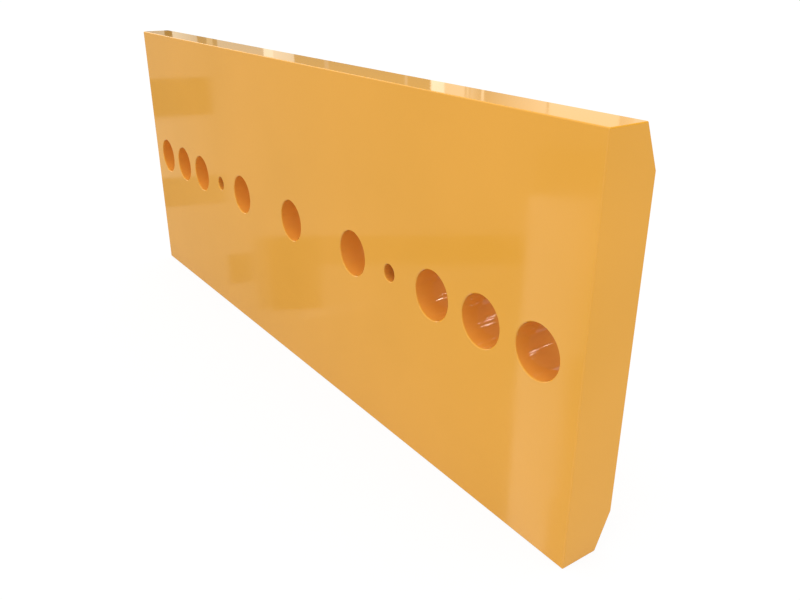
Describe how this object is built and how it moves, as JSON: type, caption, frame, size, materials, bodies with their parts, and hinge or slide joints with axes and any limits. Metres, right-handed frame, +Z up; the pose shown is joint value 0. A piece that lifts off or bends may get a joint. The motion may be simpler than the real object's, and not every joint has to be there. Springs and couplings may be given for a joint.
{
  "type": "dozer cutting edge",
  "caption": "Flat steel cutting edge with a bevel behind both long edges and a middle row of nine wide and two narrow through holes, in gloss yellow enamel.",
  "frame": {"origin": "on the ground under the middle of the plate's length and thickness", "axes": "+X along the length towards the end that is nearer in the picture, +Y from the flat front face to the bevelled back, +Z up the height"},
  "size_m": [1.0224, 0.06, 0.4064],
  "materials": {
    "yellow_enamel": "gloss yellow-orange enamel sprayed on rolled steel"
  },
  "bodies": {
    "root": {"cutting_edge": "yellow_enamel"}
  },
  "joints": []
}
